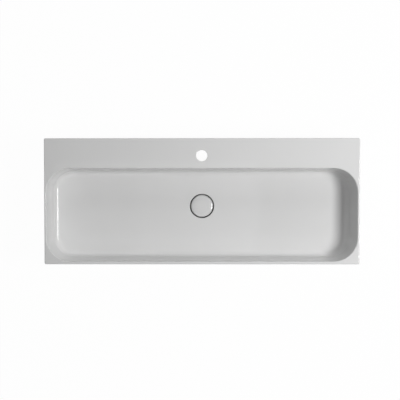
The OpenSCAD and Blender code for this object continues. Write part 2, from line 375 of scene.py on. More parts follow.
def combine(piece, tool, operation="DIFFERENCE"):
    """Cuts a piece with a tool, or unites them, and removes the tool."""
    only(piece)
    change = piece.modifiers.new("combine", "BOOLEAN")
    change.operation = operation
    change.solver = "EXACT"
    change.material_mode = "TRANSFER"
    change.object = tool
    bpy.ops.object.modifier_apply(modifier=change.name)
    bpy.data.objects.remove(tool)


def line(name, points):
    """Open line of edges through points of (radius, height), beside the world's Z axis."""
    bpy.ops.object.select_all(action="DESELECT")
    bpy.ops.mesh.primitive_plane_add(size=mm, location=(points[0][0], 0, points[0][1]))
    piece = take(name)
    edit()
    bpy.ops.mesh.select_mode(type="VERT")
    bpy.ops.mesh.select_all(action="SELECT")
    bpy.ops.mesh.merge(type="CENTER")
    for (r0, z0), (r1, z1) in zip(points, points[1:]):
        bpy.ops.mesh.extrude_vertices_move(TRANSFORM_OT_translate={"value": (r1 - r0, 0, z1 - z0)})
    leave()
    return piece


def wind(piece, pitch, turns, steps):
    """Winds an outline up the world's Z axis, moves it to the drain and goes into edit mode."""
    only(piece)
    screw = piece.modifiers.new("wind", "SCREW")
    screw.axis = "Z"
    screw.angle = 2 * math.pi
    screw.screw_offset = pitch
    screw.iterations = turns
    screw.steps = steps
    screw.render_steps = steps
    bpy.ops.object.modifier_apply(modifier=screw.name)
    piece.location = (drain_x, drain_y, 0)
    bpy.ops.object.transform_apply(location=True, rotation=True, scale=True)
    edit()
    bpy.ops.mesh.select_all(action="SELECT")


def threaded_bar(name, crest_r, root_r, pitch, blank, steps=small_sides):
    """Solid bar with a helical thread, trimmed to a blank given as a section of (radius, height)."""
    low_z = blank[0][1] - pitch / 2
    high_z = blank[-1][1] + pitch / 2
    flank = (crest_r - root_r) * cut_slope
    crest_w = (pitch - 2 * flank) / 2
    spare_turns = 3
    start = low_z - spare_turns / 2 * pitch
    bar = line(name, [(root_r, start), (root_r, start + crest_w), (crest_r, start + crest_w + flank),
                      (crest_r, start + 2 * crest_w + flank), (root_r, start + pitch)])
    wind(bar, pitch, math.ceil((high_z - low_z) / pitch) + spare_turns, steps)
    bpy.ops.mesh.remove_doubles(threshold=one_point)
    for z, above in ((low_z, False), (high_z, True)):
        bpy.ops.mesh.select_all(action="SELECT")
        bpy.ops.mesh.bisect(plane_co=(0, 0, z), plane_no=(0, 0, 1), use_fill=True,
                            clear_inner=not above, clear_outer=above)
    bpy.ops.mesh.select_all(action="SELECT")
    bpy.ops.mesh.quads_convert_to_tris()
    face_outwards()
    combine(bar, lathe("blank", blank, blank_sides), "INTERSECT")
    return bar


def finish(piece, node, body, material=None, angle=35):
    """Shades a piece, gives it its material and puts it in its node's place."""
    only(piece)
    bpy.ops.object.shade_smooth_by_angle(angle=math.radians(angle))
    if material:
        piece.data.materials.clear()
        piece.data.materials.append(material)
    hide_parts(node)
    if body:
        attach(piece, body)


# Shared surface effects

def group(name, numbers, output="Mask", kind="Float"):
    """Empty node group that takes a place and some numbers, with its inputs and its one output."""
    tree = bpy.data.node_groups.new(name, "ShaderNodeTree")
    tree.interface.new_socket("Vector", in_out="INPUT", socket_type="NodeSocketVector")
    for label, value in numbers.items():
        tree.interface.new_socket(label, in_out="INPUT", socket_type="NodeSocketFloat").default_value = value
    tree.interface.new_socket(output, in_out="OUTPUT", socket_type="NodeSocket" + kind)
    return tree, tree.nodes.new("NodeGroupInput").outputs, tree.nodes.new("NodeGroupOutput").inputs[0]


def add(tree, kind, inputs, **settings):
    """Adds a node and sets or links its inputs."""
    node = tree.nodes.new("ShaderNode" + kind)
    for key, value in settings.items():
        setattr(node, key, value)
    for key, value in inputs.items():
        if isinstance(value, bpy.types.NodeSocket):
            tree.links.new(value, node.inputs[key])
        else:
            node.inputs[key].default_value = value
    return node


def between(tree, mask, low, high, start=0.0, end=1.0):
    """Value that runs from low to high as the mask runs from start to end."""
    ranged = add(tree, "MapRange", {"Value": mask, "From Min": start, "From Max": end,
                                    "To Min": low, "To Max": high})
    return ranged.outputs["Result"]


def from_drain_axis(tree, place):
    """Distance of a place from the drain's axis."""
    centred = add(tree, "VectorMath", {0: place, 1: (drain_x, drain_y, 0)}, operation="SUBTRACT")
    flat = add(tree, "VectorMath", {0: centred.outputs["Vector"], 1: (1, 1, 0)}, operation="MULTIPLY")
    return add(tree, "VectorMath", {0: flat.outputs["Vector"]}, operation="LENGTH").outputs["Value"]


def height_of(tree, place):
    return add(tree, "SeparateXYZ", {0: place}).outputs["Z"]


def make_clouds():
    """Soft uneven mask, as in a glaze, a moulding or a tarnish."""
    tree, given, out = group("clouds", {"Scale": 8, "Contrast": 0.3})
    noise = add(tree, "TexNoise", {"Vector": given["Vector"], "Scale": given["Scale"], "Detail": 4,
                                   "Roughness": 0.55})
    low = add(tree, "Math", {0: 0.5, 1: given["Contrast"]}, operation="SUBTRACT")
    high = add(tree, "Math", {0: 0.5, 1: given["Contrast"]}, operation="ADD")
    mask = between(tree, noise.outputs["Fac"], 0, 1, start=low.outputs[0], end=high.outputs[0])
    tree.links.new(mask, out)
    return tree


def make_specks():
    """Mask of small round specks, in a share of the cells."""
    tree, given, out = group("specks", {"Scale": 60, "Size": 0.03, "Share": 0.1})
    cells = add(tree, "TexVoronoi", {"Vector": given["Vector"], "Scale": given["Scale"]})
    near_point = add(tree, "Math", {0: cells.outputs["Distance"], 1: given["Size"]}, operation="LESS_THAN")
    chance = add(tree, "SeparateColor", {"Color": cells.outputs["Color"]})
    chosen = add(tree, "Math", {0: chance.outputs["Red"], 1: given["Share"]}, operation="LESS_THAN")
    speck = add(tree, "Math", {0: near_point.outputs[0], 1: chosen.outputs[0]}, operation="MULTIPLY")
    tree.links.new(speck.outputs[0], out)
    return tree


def make_relief():
    """Normal of a surface with a long wave and a fine grain, with both heights in metres."""
    tree, given, out = group("relief", {"Wave Scale": 10, "Wave Height": 0.0001, "Grain Scale": 400,
                                        "Grain Height": 0.00001}, "Normal", "Vector")
    wave = add(tree, "TexNoise", {"Vector": given["Vector"], "Scale": given["Wave Scale"], "Detail": 1})
    grain = add(tree, "TexNoise", {"Vector": given["Vector"], "Scale": given["Grain Scale"], "Detail": 2})
    long_bump = add(tree, "Bump", {"Strength": 1, "Distance": given["Wave Height"],
                                   "Height": wave.outputs["Fac"]})
    fine_bump = add(tree, "Bump", {"Strength": 1, "Distance": given["Grain Height"],
                                   "Height": grain.outputs["Fac"], "Normal": long_bump.outputs["Normal"]})
    tree.links.new(fine_bump.outputs["Normal"], out)
    return tree


def make_turning_marks():
    """Mask of the fine rings that a lathe leaves about the drain's axis."""
    tree, given, out = group("turning_marks", {"Pitch": 0.0004})
    place = given["Vector"]
    along = add(tree, "Math", {0: from_drain_axis(tree, place), 1: height_of(tree, place)}, operation="ADD")
    steps = add(tree, "Math", {0: along.outputs[0], 1: given["Pitch"]}, operation="DIVIDE")
    rings = add(tree, "TexNoise", {"W": steps.outputs[0], "Scale": 1, "Detail": 3}, noise_dimensions="1D")
    tree.links.new(rings.outputs["Fac"], out)
    return tree


def make_scratches():
    """Mask of thin scratches in two directions."""
    tree, given, out = group("scratches", {"Scale": 300})
    tilt = 0.4
    stretch = 0.02
    lines = []
    for turn in (0.6, 2.1):
        placed = add(tree, "Mapping", {"Vector": given["Vector"], "Rotation": (tilt, turn, turn),
                                       "Scale": (1, stretch, 1)})
        noise = add(tree, "TexNoise", {"Vector": placed.outputs["Vector"], "Scale": given["Scale"],
                                       "Detail": 2})
        lines.append(between(tree, noise.outputs["Fac"], 0, 1, start=0.66, end=0.72))
    both = add(tree, "Math", {0: lines[0], 1: lines[1]}, operation="MAXIMUM")
    tree.links.new(both.outputs[0], out)
    return tree


clouds = make_clouds()
specks = make_specks()
relief = make_relief()
turning_marks = make_turning_marks()
scratches = make_scratches()


# Finishes

def new_finish(name, metallic=0.0):
    """Material with its tree, its shader and its object coordinates."""
    material = bpy.data.materials.new(name)
    material.use_nodes = True
    tree = material.node_tree
    shader = tree.nodes["Principled BSDF"]
    shader.inputs["Metallic"].default_value = metallic
    place = tree.nodes.new("ShaderNodeTexCoord").outputs["Object"]
    return material, tree, shader.inputs, place


def use(tree, made, place, **values):
    """Puts a shared effect in a material, with its own values, and gives its output."""
    node = add(tree, "Group", {}, node_tree=made)
    tree.links.new(place, node.inputs["Vector"])
    for key, value in values.items():
        node.inputs[key.replace("_", " ").title()].default_value = value
    return node.outputs[0]


def tones(tree, mask, low, high):
    """Colour between two tones."""
    ramp = add(tree, "ValToRGB", {"Fac": mask})
    ramp.color_ramp.elements[0].color = (*low, 1)
    ramp.color_ramp.elements[1].color = (*high, 1)
    return ramp.outputs["Color"]


def tinted(tree, colour, mask, tint):
    """Colour that turns to a tint where the mask is set."""
    mix = add(tree, "Mix", {0: mask, 6: colour, 7: (*tint, 1)}, data_type="RGBA")
    return mix.outputs[2]


def gap_shade_mask(tree, place):
    """Mask of the narrow gap round the drain cover, below the floor, with soft limits, where shade is
    painted into the glaze.
    """
    away = from_drain_axis(tree, place)
    soft = 1 * mm
    gap_start = cover_r + 0.5 * mm
    outside_cover = between(tree, away, 0, 1, gap_start, gap_start + soft)
    inside_recess = between(tree, away, 1, 0, recess_r + recess_lip / 2, recess_r + recess_lip)
    sunk = between(tree, height_of(tree, place), 1, 0, floor_z - 3 * recess_lip, floor_z - recess_lip)
    gap = add(tree, "Math", {0: outside_cover, 1: inside_recess}, operation="MULTIPLY")
    deep = add(tree, "Math", {0: gap.outputs[0], 1: sunk}, operation="MULTIPLY")
    return deep.outputs[0]


def white_glaze():
    """Glossy glaze with a faint unevenness, a few pin specks and a slow ripple, with painted shade in the
    drain's gap.
    """
    material, tree, shader, place = new_finish("white_glaze")
    shader["IOR"].default_value = 1.4
    # Painted shade: a near-black tone for the glaze in the gap round the drain cover
    painted_gap_shade = (0.12, 0.12, 0.115)
    cloud = use(tree, clouds, place, scale=7, contrast=0.25)
    speck = use(tree, specks, place, scale=45, size=0.018, share=0.12)
    polish = use(tree, clouds, place, scale=30, contrast=0.2)
    colour = tones(tree, cloud, (0.690, 0.690, 0.688), (0.706, 0.706, 0.704))
    colour = tinted(tree, colour, speck, (0.52, 0.50, 0.46))
    # Painted shade darkens the glaze in the gap round the cover
    colour = tinted(tree, colour, gap_shade_mask(tree, place), painted_gap_shade)
    tree.links.new(colour, shader["Base Color"])
    tree.links.new(between(tree, polish, 0.045, 0.08), shader["Roughness"])
    tree.links.new(use(tree, relief, place, wave_scale=9, wave_height=0.00005, grain_scale=320,
                       grain_height=0.0000015), shader["Normal"])
    return material


def thin_glaze():
    """Thin, dull glaze of the underside, blotched where the clay shows through."""
    material, tree, shader, place = new_finish("thin_glaze")
    cloud = use(tree, clouds, place, scale=18, contrast=0.12)
    speck = use(tree, specks, place, scale=70, size=0.05, share=0.2)
    colour = tones(tree, cloud, (0.56, 0.545, 0.51), (0.655, 0.65, 0.63))
    tree.links.new(tinted(tree, colour, speck, (0.42, 0.38, 0.32)), shader["Base Color"])
    tree.links.new(between(tree, cloud, 0.6, 0.3), shader["Roughness"])
    tree.links.new(use(tree, relief, place, wave_scale=25, wave_height=0.0006, grain_scale=500,
                       grain_height=0.00003), shader["Normal"])
    return material


def fired_clay():
    """Bare fired clay, chalky and finely grained."""
    material, tree, shader, place = new_finish("fired_clay")
    cloud = use(tree, clouds, place, scale=60, contrast=0.2)
    speck = use(tree, specks, place, scale=400, size=0.2, share=0.15)
    colour = tones(tree, cloud, (0.50, 0.47, 0.42), (0.60, 0.575, 0.53))
    tree.links.new(tinted(tree, colour, speck, (0.36, 0.32, 0.27)), shader["Base Color"])
    tree.links.new(between(tree, cloud, 0.8, 0.95), shader["Roughness"])
    tree.links.new(use(tree, relief, place, wave_scale=120, wave_height=0.00005, grain_scale=2500,
                       grain_height=0.00004), shader["Normal"])
    return material


def metal(name, dark, light, smooth, rough, pitch, grain_height):
    """Turned metal: tone drifts in clouds, and lathe rings and scratches break the gloss."""
    material, tree, shader, place = new_finish(name, metallic=1.0)
    cloud = use(tree, clouds, place, scale=60, contrast=0.2)
    rings = use(tree, turning_marks, place, pitch=pitch)
    scratch = use(tree, scratches, place, scale=500)
    colour = tinted(tree, tones(tree, cloud, dark, light), between(tree, scratch, 0, 0.25), dark)
    tree.links.new(colour, shader["Base Color"])
    turned = between(tree, rings, smooth, rough, start=0.3, end=0.7)
    dulled = add(tree, "Math", {0: turned, 1: between(tree, scratch, 0, 0.15)}, operation="ADD")
    tree.links.new(dulled.outputs[0], shader["Roughness"])
    bump = add(tree, "Bump", {"Strength": 1, "Distance": grain_height, "Height": rings})
    tree.links.new(bump.outputs["Normal"], shader["Normal"])
    return material


def soft_finish(name, dark, light, smooth, rough, wave_height, grain_scale, grain_height):
    """Moulded rubber or plastic: slight flow clouds, dust specks and a fine skin."""
    material, tree, shader, place = new_finish(name)
    cloud = use(tree, clouds, place, scale=90, contrast=0.2)
    speck = use(tree, specks, place, scale=350, size=0.08, share=0.12)
    dust = tuple(min(1, 1.25 * c + 0.02) for c in light)
    tree.links.new(tinted(tree, tones(tree, cloud, dark, light), speck, dust), shader["Base Color"])
    tree.links.new(between(tree, cloud, smooth, rough), shader["Roughness"])
    tree.links.new(use(tree, relief, place, wave_scale=150, wave_height=wave_height,
                       grain_scale=grain_scale, grain_height=grain_height), shader["Normal"])
    return material


def cell_foam():
    """Closed-cell foam, with its cut cells as small pits."""
    material, tree, shader, place = new_finish("cell_foam")
    cells = add(tree, "TexVoronoi", {"Vector": place, "Scale": 1400})
    tree.links.new(tones(tree, cells.outputs["Distance"], (0.045, 0.045, 0.047), (0.10, 0.10, 0.105)),
                   shader["Base Color"])
    tree.links.new(between(tree, cells.outputs["Distance"], 0.98, 0.8), shader["Roughness"])
    bump = add(tree, "Bump", {"Strength": 1, "Distance": 0.0002, "Height": cells.outputs["Distance"]})
    tree.links.new(bump.outputs["Normal"], shader["Normal"])
    return material


glaze = white_glaze()
dull_glaze = thin_glaze()
clay = fired_clay()
foam = cell_foam()
chrome = metal("chrome_plate", dark=(0.56, 0.57, 0.59), light=(0.64, 0.65, 0.67), smooth=0.05, rough=0.13,
               pitch=0.0006, grain_height=0.000002)
brass = metal("turned_brass", dark=(0.36, 0.24, 0.09), light=(0.56, 0.42, 0.19), smooth=0.22, rough=0.42,
              pitch=0.0004, grain_height=0.000012)
steel = metal("bright_steel", dark=(0.30, 0.31, 0.32), light=(0.42, 0.43, 0.45), smooth=0.22, rough=0.38,
              pitch=0.0003, grain_height=0.000008)
rubber = soft_finish("moulded_rubber", dark=(0.016, 0.016, 0.018), light=(0.028, 0.028, 0.030), smooth=0.55,
                     rough=0.72, wave_height=0.00002, grain_scale=2200, grain_height=0.00002)
white_plastic = soft_finish("white_moulding", dark=(0.66, 0.66, 0.64), light=(0.72, 0.72, 0.70), smooth=0.32,
                            rough=0.42, wave_height=0.00001, grain_scale=1500, grain_height=0.000004)
blue_plastic = soft_finish("blue_moulding", dark=(0.030, 0.085, 0.160), light=(0.040, 0.105, 0.190),
                           smooth=0.30, rough=0.42, wave_height=0.00001, grain_scale=1500,
                           grain_height=0.000004)


# The basin

def wall_section(start, depth, fillet, rows, steps):
    """Sloping wall and the arc at its foot, as (offset outwards, height)."""
    foot_depth = depth - fillet * (1 - math.sin(wall_draft))
    foot_x = start - math.tan(wall_draft) * foot_depth
    wall = [(start + (foot_x - start) * i / rows, rim_z - foot_depth * i / rows) for i in range(rows)]
    centre_x = foot_x - fillet * math.cos(wall_draft)
    return wall + arc(centre_x, rim_z - depth + fillet, fillet, -math.degrees(wall_draft), -90, steps)


def outer_block():
    """Outside of the basin, open at the rim, with its edges rounded."""
    block = rounded_plate("basin_body", basin_w, basin_d, corner_r, middle_y, foot_z,
                          cuts=(long_steps, short_steps))
    bpy.ops.mesh.extrude_region_move(TRANSFORM_OT_translate={"value": (0, 0, rim_z - foot_z)})
    round_edges(block, rim_round, 6, level(rim_z))
    round_edges(block, foot_round, 4, level(foot_z))
    pick(block, "FACE", lambda middle, normal: near(middle.z, rim_z) and normal.z > 0.99)
    bpy.ops.mesh.inset(thickness=wide_strip, depth=0, use_even_offset=True)
    bpy.ops.mesh.delete(type="ONLY_FACE")
    leave()
    return block


def bowl_inside():
    """Lip and walls of the bowl, open at the rim and at the floor."""
    lip_start = lip_r * (math.cos(wall_draft) - math.tan(wall_draft) * (1 - math.sin(wall_draft)))
    lip = arc(lip_start, rim_z - lip_r, lip_r, 90, 180 - math.degrees(wall_draft), 8)
    wall_top = lip[-1][1] - 1 * mm
    wall = wall_section(0, bowl_depth, wall_fillet, rows=8, steps=16)
    section = [(lip_start + wide_strip, rim_z)] + lip + [point for point in wall if point[1] < wall_top]
    outset = section[0][0]
    bowl = rounded_plate("bowl", bowl_w + 2 * outset, bowl_d + 2 * outset, bowl_r + outset, bowl_y, rim_z,
                         cuts=(long_steps, short_steps))
    sink(section)
    bpy.ops.mesh.delete(type="ONLY_FACE")
    leave()
    return bowl


def drain_recess():
    """Recess for the cover, its shelf and the drain hole, down to a blind end."""
    shelf_z = levels("flange_gasket")[0]
    blind_z = foot_z + 3 * mm
    lip = arc(recess_r + recess_lip, floor_z - recess_lip, recess_lip, 90, 180, 6)
    corner = arc(recess_r - recess_corner, shelf_z + recess_corner, recess_corner, 0, -90, 3)
    edge = arc(drain_r + drain_round, shelf_z - drain_round, drain_round, 90, 180, 4)
    section = [(recess_r + recess_lip + wide_strip, floor_z)] + lip + corner + edge + [(drain_r, blind_z)]
    recess = sunk_disc("recess", with_strips(section, wide_strip), loop_count)
    leave()
    return recess


def lay_floor_and_rim(piece):
    """Bridges the foot of the walls to the recess, and the bowl's lip to the outer edge."""
    margin = 0.1 * mm
    outermost = recess_r + recess_lip + wide_strip - margin

    def floor_edge(middle, along):
        away = math.hypot(middle.x - drain_x, middle.y - drain_y)
        return near(middle.z, edge_floor_z) or (near(middle.z, floor_z) and away > outermost)

    pick(piece, "EDGE", floor_edge)
    bpy.ops.mesh.bridge_edge_loops(number_cuts=floor_rings, interpolation="LINEAR")
    bpy.ops.mesh.select_mode(type="EDGE")
    bpy.ops.mesh.select_all(action="DESELECT")
    bpy.ops.mesh.select_non_manifold()
    bpy.ops.mesh.bridge_edge_loops(interpolation="LINEAR")
    face_outwards()


def tap_cutter():
    """Cutter for the tap hole, which leaves it a rounded edge."""
    over = 2 * mm
    edge = arc(tap_r + tap_round, rim_z - tap_round, tap_round, 90, 180, 5)
    section = [(tap_r + tap_round, rim_z + over)] + edge + [(tap_r, rim_z - ledge_t - over)]
    cutter = sunk_disc("tap_cutter", section, x=0, y=tap_y)
    close_open_edges()
    face_outwards()
    return cutter


def shell_outside():
    """Outside of the bowl's shell, as a solid that runs up into the ledge."""
    start = shell_t / math.cos(wall_draft)
    top_z = rim_z - ledge_t / 2
    top_x = start - math.tan(wall_draft) * (rim_z - top_z)
    wall = wall_section(start, bowl_depth + floor_fall + shell_t, wall_fillet + shell_t, rows=6, steps=12)
    section = [(top_x, top_z)] + [point for point in wall if point[1] < top_z - 3 * mm]
    shell = rounded_plate("shell_outside", bowl_w + 2 * top_x, bowl_d + 2 * top_x, bowl_r + top_x, bowl_y,
                          top_z, cuts=(long_steps, short_steps))
    sink(section)
    close_open_edges()
    face_outwards()
    return shell


def drain_boss():
    """Boss under the drain, narrower at its rounded foot."""
    nose_h = 3 * mm
    taper = 8 * mm
    soft = 2 * mm
    boss_z = levels("cone_washer")[1] - nose_h
    top_z = floor_z - shell_t + 1 * mm
    top_r = recess_r + shell_t
    foot = arc(top_r - taper - soft, boss_z + soft, soft, 0, -90, 4)
    boss = sunk_disc("boss", [(top_r, top_z)] + foot)
    close_open_edges()
    face_outwards()
    return boss


def ledge_web(x):
    """Web that stiffens the ledge, with its lower edges rounded."""
    low_z = foot_z + web_foot
    web = add_block("web", (x - web_t / 2, -ledge_d - shell_t, low_z),
                    (x + web_t / 2, -skirt_t / 2, rim_z - ledge_t / 2))
    round_edges(web, web_round, 4, level(low_z))
    return web


def service_space():
    """Space inside the skirt, round the shell, the boss and the webs, as a solid to cut with."""
    low_z = foot_z - 1 * mm
    top_z = rim_z - ledge_t
    soft = corner_r - 1 * mm
    flare = [(foot_round - x, z) for x, z in arc(0, foot_z + foot_round, foot_round, -90, 0, 4)]
    section = [(foot_round, low_z)] + flare + arc(-soft, top_z - soft, soft, 0, 90, 5)
    outset = foot_round - skirt_t
    space = rounded_plate("service_space", basin_w + 2 * outset, basin_d + 2 * outset, corner_r + foot_round,
                          middle_y, low_z, steps=6)
    sink(section)
    close_open_edges()
    face_outwards()
    space.data.materials.append(dull_glaze)
    for solid in (shell_outside(), drain_boss(), ledge_web(-web_x), ledge_web(web_x)):
        solid.data.materials.append(dull_glaze)
        combine(space, solid)
    return space


def bolt_cutter(x):
    """Cutter for a wall bolt hole through the back skirt."""
    over = 2 * mm
    bpy.ops.object.select_all(action="DESELECT")
    bpy.ops.mesh.primitive_cylinder_add(vertices=32, radius=bolt_r, depth=skirt_t + 2 * over,
                                        location=(x, -skirt_t / 2, 0), rotation=(math.pi / 2, 0, 0))
    cutter = take("bolt_cutter")
    cutter.data.materials.append(clay)
    return cutter


def build_basin():
    """One-piece fired body: glazed above, thinly glazed below and bare on its foot."""
    basin = join(outer_block(), bowl_inside(), drain_recess())
    lay_floor_and_rim(basin)
    basin.data.materials.clear()
    basin.data.materials.append(glaze)
    for cutter in (service_space(), tap_cutter(), bolt_cutter(-bolt_x), bolt_cutter(bolt_x)):
        combine(basin, cutter)
    pick(basin, "FACE", lambda middle, normal: middle.z < foot_z + 0.5 * mm and normal.z < -0.5)
    basin.active_material_index = basin.data.materials.find(clay.name)
    bpy.ops.object.material_slot_assign()
    leave()
    finish(basin, "basin", "basin")


# The drain cover and what rises with it

def build_drain_cover():
    """Ceramic disc with a soft crown and a rounded edge, unglazed below."""
    low_z, high_z = levels("drain_cover")
    edge_round = 3 * mm
    foot_edge = 1 * mm
    crown = 2.9 * mm
    edge_slope = 19
    rows = 12
    round_z = high_z - crown - edge_round * math.cos(math.radians(edge_slope))
    foot = arc(cover_r - foot_edge, low_z + foot_edge, foot_edge, -90, 0, 4)
    shoulder = arc(cover_r - edge_round, round_z, edge_round, 0, 90 - edge_slope, 8)
    top_r, top_z = shoulder[-1]
    dome = [(top_r * t, top_z + crown * (1 - t ** 4)) for t in [i / rows for i in range(rows - 1, 0, -1)]]
    pole = (top_r / rows / 4, high_z)
    section = [(cover_r - foot_edge - wide_strip, low_z)] + foot + shoulder + dome + [pole]
    cover = lathe("cover_disc", section, wide_sides, pole=True)
    cover.data.materials.append(glaze)
    cover.data.materials.append(clay)
    pick(cover, "FACE", lambda middle, normal: normal.z < -0.9)
    cover.active_material_index = 1
    bpy.ops.object.material_slot_assign()
    leave()
    finish(cover, "drain_cover", "cover")


def ring(name, node, inner_r, outer_r, ease):
    """Flat ring as high as its node, with eased edges."""
    low_z, high_z = levels(node)
    corners = [(inner_r, low_z), (outer_r, low_z), (outer_r, high_z), (inner_r, high_z)]
    return lathe(name, eased(corners, ease))


def build_cover_pad():
    pad = ring("foam_ring", "cover_pad", inner_r=stem_r + 1 * mm, outer_r=26 * mm, ease=0.35 * mm)
    finish(pad, "cover_pad", "cover", foam)


def build_cover_carrier():
    """Plated disc with a turned step for the seal."""
    low_z, high_z = levels("cover_carrier")
    bore = stem_r + fit_gap
    r = 28 * mm
    step = 0.2 * mm
    bevel = 0.8 * mm
    corners = [(bore, low_z), (seal_bore_r - 0.5 * mm, low_z), (seal_bore_r, low_z + step),
               (r - bevel, low_z + step), (r, low_z + step + bevel), (r, high_z), (bore, high_z)]
    carrier = lathe("carrier_disc", eased(corners, 0.4 * mm), wide_sides)
    finish(carrier, "cover_carrier", "cover", chrome)


def build_plug_seal():
    """Rubber ring with a thin sealing lip."""
    low_z, high_z = levels("plug_seal")
    r = 27 * mm
    root_w = 4 * mm
    root_rise = 0.3 * mm
    lip_w = 1.2 * mm
    lip_rise = 0.9 * mm
    corners = [(seal_bore_r, low_z + root_rise), (seal_bore_r + root_w, low_z), (r - lip_w, low_z),
               (r, low_z + lip_rise), (r, high_z), (seal_bore_r, high_z)]
    seal = lathe("seal_ring", eased(corners, 0.4 * mm), wide_sides)
    finish(seal, "plug_seal", "cover", rubber)


def nut(name, node, sides, across_corners_r, bore_r, chamfer):
    """Nut with chamfered corners and a countersunk bore."""
    low_z, high_z = levels(node)
    over = 1 * mm
    blank = sunk_disc(name, [(across_corners_r, low_z - over), (across_corners_r, high_z + over)], sides,
                      turn=math.pi / sides)
    close_open_edges()
    face_outwards()
    end_share = 0.97
    end_r = across_corners_r * math.cos(math.pi / sides) * end_share
    outer_r = across_corners_r + over
    reach = (outer_r - end_r) * cut_slope
    barrel = [(end_r, low_z), (outer_r, low_z + reach), (outer_r, high_z - reach), (end_r, high_z)]
    combine(blank, lathe("barrel", barrel, blank_sides), "INTERSECT")
    wide = bore_r + chamfer + over
    bore = [(wide, low_z - over), (bore_r, low_z + chamfer), (bore_r, high_z - chamfer),
            (wide, high_z + over)]
    combine(blank, lathe("bore", bore))
    return blank


def build_stem_lock_nut():
    lock_nut = nut("hexagon_nut", "stem_lock_nut", sides=6, across_corners_r=7.5 * mm,
                   bore_r=stem_r + fit_gap, chamfer=0.4 * mm)
    finish(lock_nut, "stem_lock_nut", "cover", steel)


def build_cover_stem():
    """Threaded rod with chamfered ends."""
    low_z, high_z = levels("cover_stem")
    chamfer = stem_r - stem_root_r
    wide = stem_r + fit_gap
    blank = [(stem_root_r, low_z), (wide, low_z + chamfer), (wide, high_z - chamfer), (stem_root_r, high_z)]
    rod = threaded_bar("threaded_rod", stem_r, stem_root_r, stem_pitch, blank, steps=32)
    finish(rod, "cover_stem", "cover", steel)


def build_plunger():
    """Moulded plunger: socket above, pin below."""
    low_z, high_z = levels("plunger")
    play = 0.4 * mm
    shoulder_z = levels("cam_rotor")[1] + play
    socket_z = levels("cover_stem")[0]
    soft = 0.4 * mm
    bore = stem_r + fit_gap
    section = [(pin_r - 2 * soft, low_z), (pin_r, low_z + 2 * soft), (pin_r, shoulder_z),
               (plunger_r - soft, shoulder_z), (plunger_r, shoulder_z + soft), (plunger_r, high_z - soft),
               (plunger_r - soft, high_z), (bore + soft, high_z), (bore, high_z - soft), (bore, socket_z)]
    core = lathe("plunger_core", section, small_sides)
    finish(core, "plunger", "cover", white_plastic)


def build_cam_rotor():
    """Rotor with eight ribs, each with a slanted cam face."""
    low_z, high_z = levels("cam_rotor")
    r = 7 * mm
    rib_r = 8.5 * mm
    rib_w = 3 * mm
    rib_top = low_z + 6.6 * mm
    slant = 1.6 * mm
    bore = pin_r + guide_gap
    core = eased([(bore, low_z), (r, low_z), (r, high_z), (bore, high_z)], 0.3 * mm)
    rotor = lathe("rotor_core", core, small_sides)
    rib = add_block("rib", (r - 1 * mm, -rib_w / 2, low_z), (rib_r + 1 * mm, rib_w / 2, rib_top))
    pick(rib, "EDGE", lambda middle, along: near(middle.z, rib_top) and near(middle.y, -rib_w / 2))
    bpy.ops.transform.translate(value=(0, 0, -slant))
    leave()
    ribs = join(*turned_copies(rib, range(0, 360, 45)))
    combine(ribs, lathe("rib_blank", [(rib_r, low_z), (rib_r, high_z)], wide_sides), "INTERSECT")
    combine(rotor, ribs, "UNION")
    finish(rotor, "cam_rotor", "rotor", blue_plastic)


def build_spring_seat():
    seat = ring("seat_ring", "spring_seat", inner_r=pin_r + fit_gap, outer_r=7.2 * mm, ease=0.3 * mm)
    finish(seat, "spring_seat", "cover", steel)


# The cartridge's housing and its spring

def build_spring():
    """Coil of round wire."""
    low_z, high_z = levels("cartridge_spring")
    wire_r = 0.7 * mm
    coil_r = 6.3 * mm
    turns = 5
    bpy.ops.object.select_all(action="DESELECT")
    bpy.ops.mesh.primitive_circle_add(vertices=14, radius=wire_r, location=(coil_r, 0, low_z + wire_r),
                                      rotation=(math.pi / 2, 0, 0))
    spring = take("spring_coil")
    wind(spring, (high_z - low_z - 2 * wire_r) / turns, turns, steps=40)
    close_open_edges()
    face_outwards()
    finish(spring, "cartridge_spring", None, steel)
    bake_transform(spring)


def build_cartridge_cap():
    """Cap that guides the plunger, with a groove for the wiper ring."""
    low_z, high_z = levels("cartridge_cap")
    sleeve_top = levels("cartridge_sleeve")[1]
    groove_z = levels("plunger_seal")[0]
    groove_r = plunger_r + 1.7 * mm
    bore = plunger_r + guide_gap
    inner_r = sleeve_r + fit_gap
    r = sleeve_r + 1.2 * mm
    corners = [(inner_r, low_z), (r, low_z), (r, high_z), (groove_r, high_z), (groove_r, groove_z),
               (bore, groove_z), (bore, sleeve_top), (inner_r, sleeve_top)]
    cap = lathe("cap_shell", eased(corners, 0.25 * mm))
    finish(cap, "cartridge_cap", "basin", white_plastic)


def build_plunger_seal():
    """Wiper ring of round section."""
    low_z, high_z = levels("plunger_seal")
    wire_r = (high_z - low_z) / 2
    # The first point again in the last one's place, so that the section closes exactly
    section = arc(plunger_r + guide_gap + wire_r, low_z + wire_r, wire_r, 0, 360, 16)
    wiper = lathe("wiper_ring", section[:-1] + section[:1], small_sides)
    finish(wiper, "plunger_seal", "basin", rubber)


def build_cartridge_sleeve():
    """Housing of the cartridge, with a threaded spigot."""
    low_z, high_z = levels("cartridge_sleeve")
    floor = levels("cartridge_spring")[0]
    foot = floor - sleeve_foot_t
    soft = 0.4 * mm
    root_r = 4.5 * mm
    section = [(sleeve_r - soft, foot), (sleeve_r, foot + soft), (sleeve_r, high_z - soft),
               (sleeve_r - soft, high_z), (sleeve_bore_r + soft, high_z), (sleeve_bore_r, high_z - soft),
               (sleeve_bore_r, floor)]
    sleeve = lathe("sleeve_shell", section)
    wide = spigot_r + fit_gap
    blank = [(root_r - fit_gap, low_z), (wide, low_z + wide - root_r), (wide, floor - soft)]
    combine(sleeve, threaded_bar("spigot", spigot_r, root_r, 1 * mm, blank, steps=32), "UNION")
    finish(sleeve, "cartridge_sleeve", "basin", white_plastic)


# The waste and what clamps it

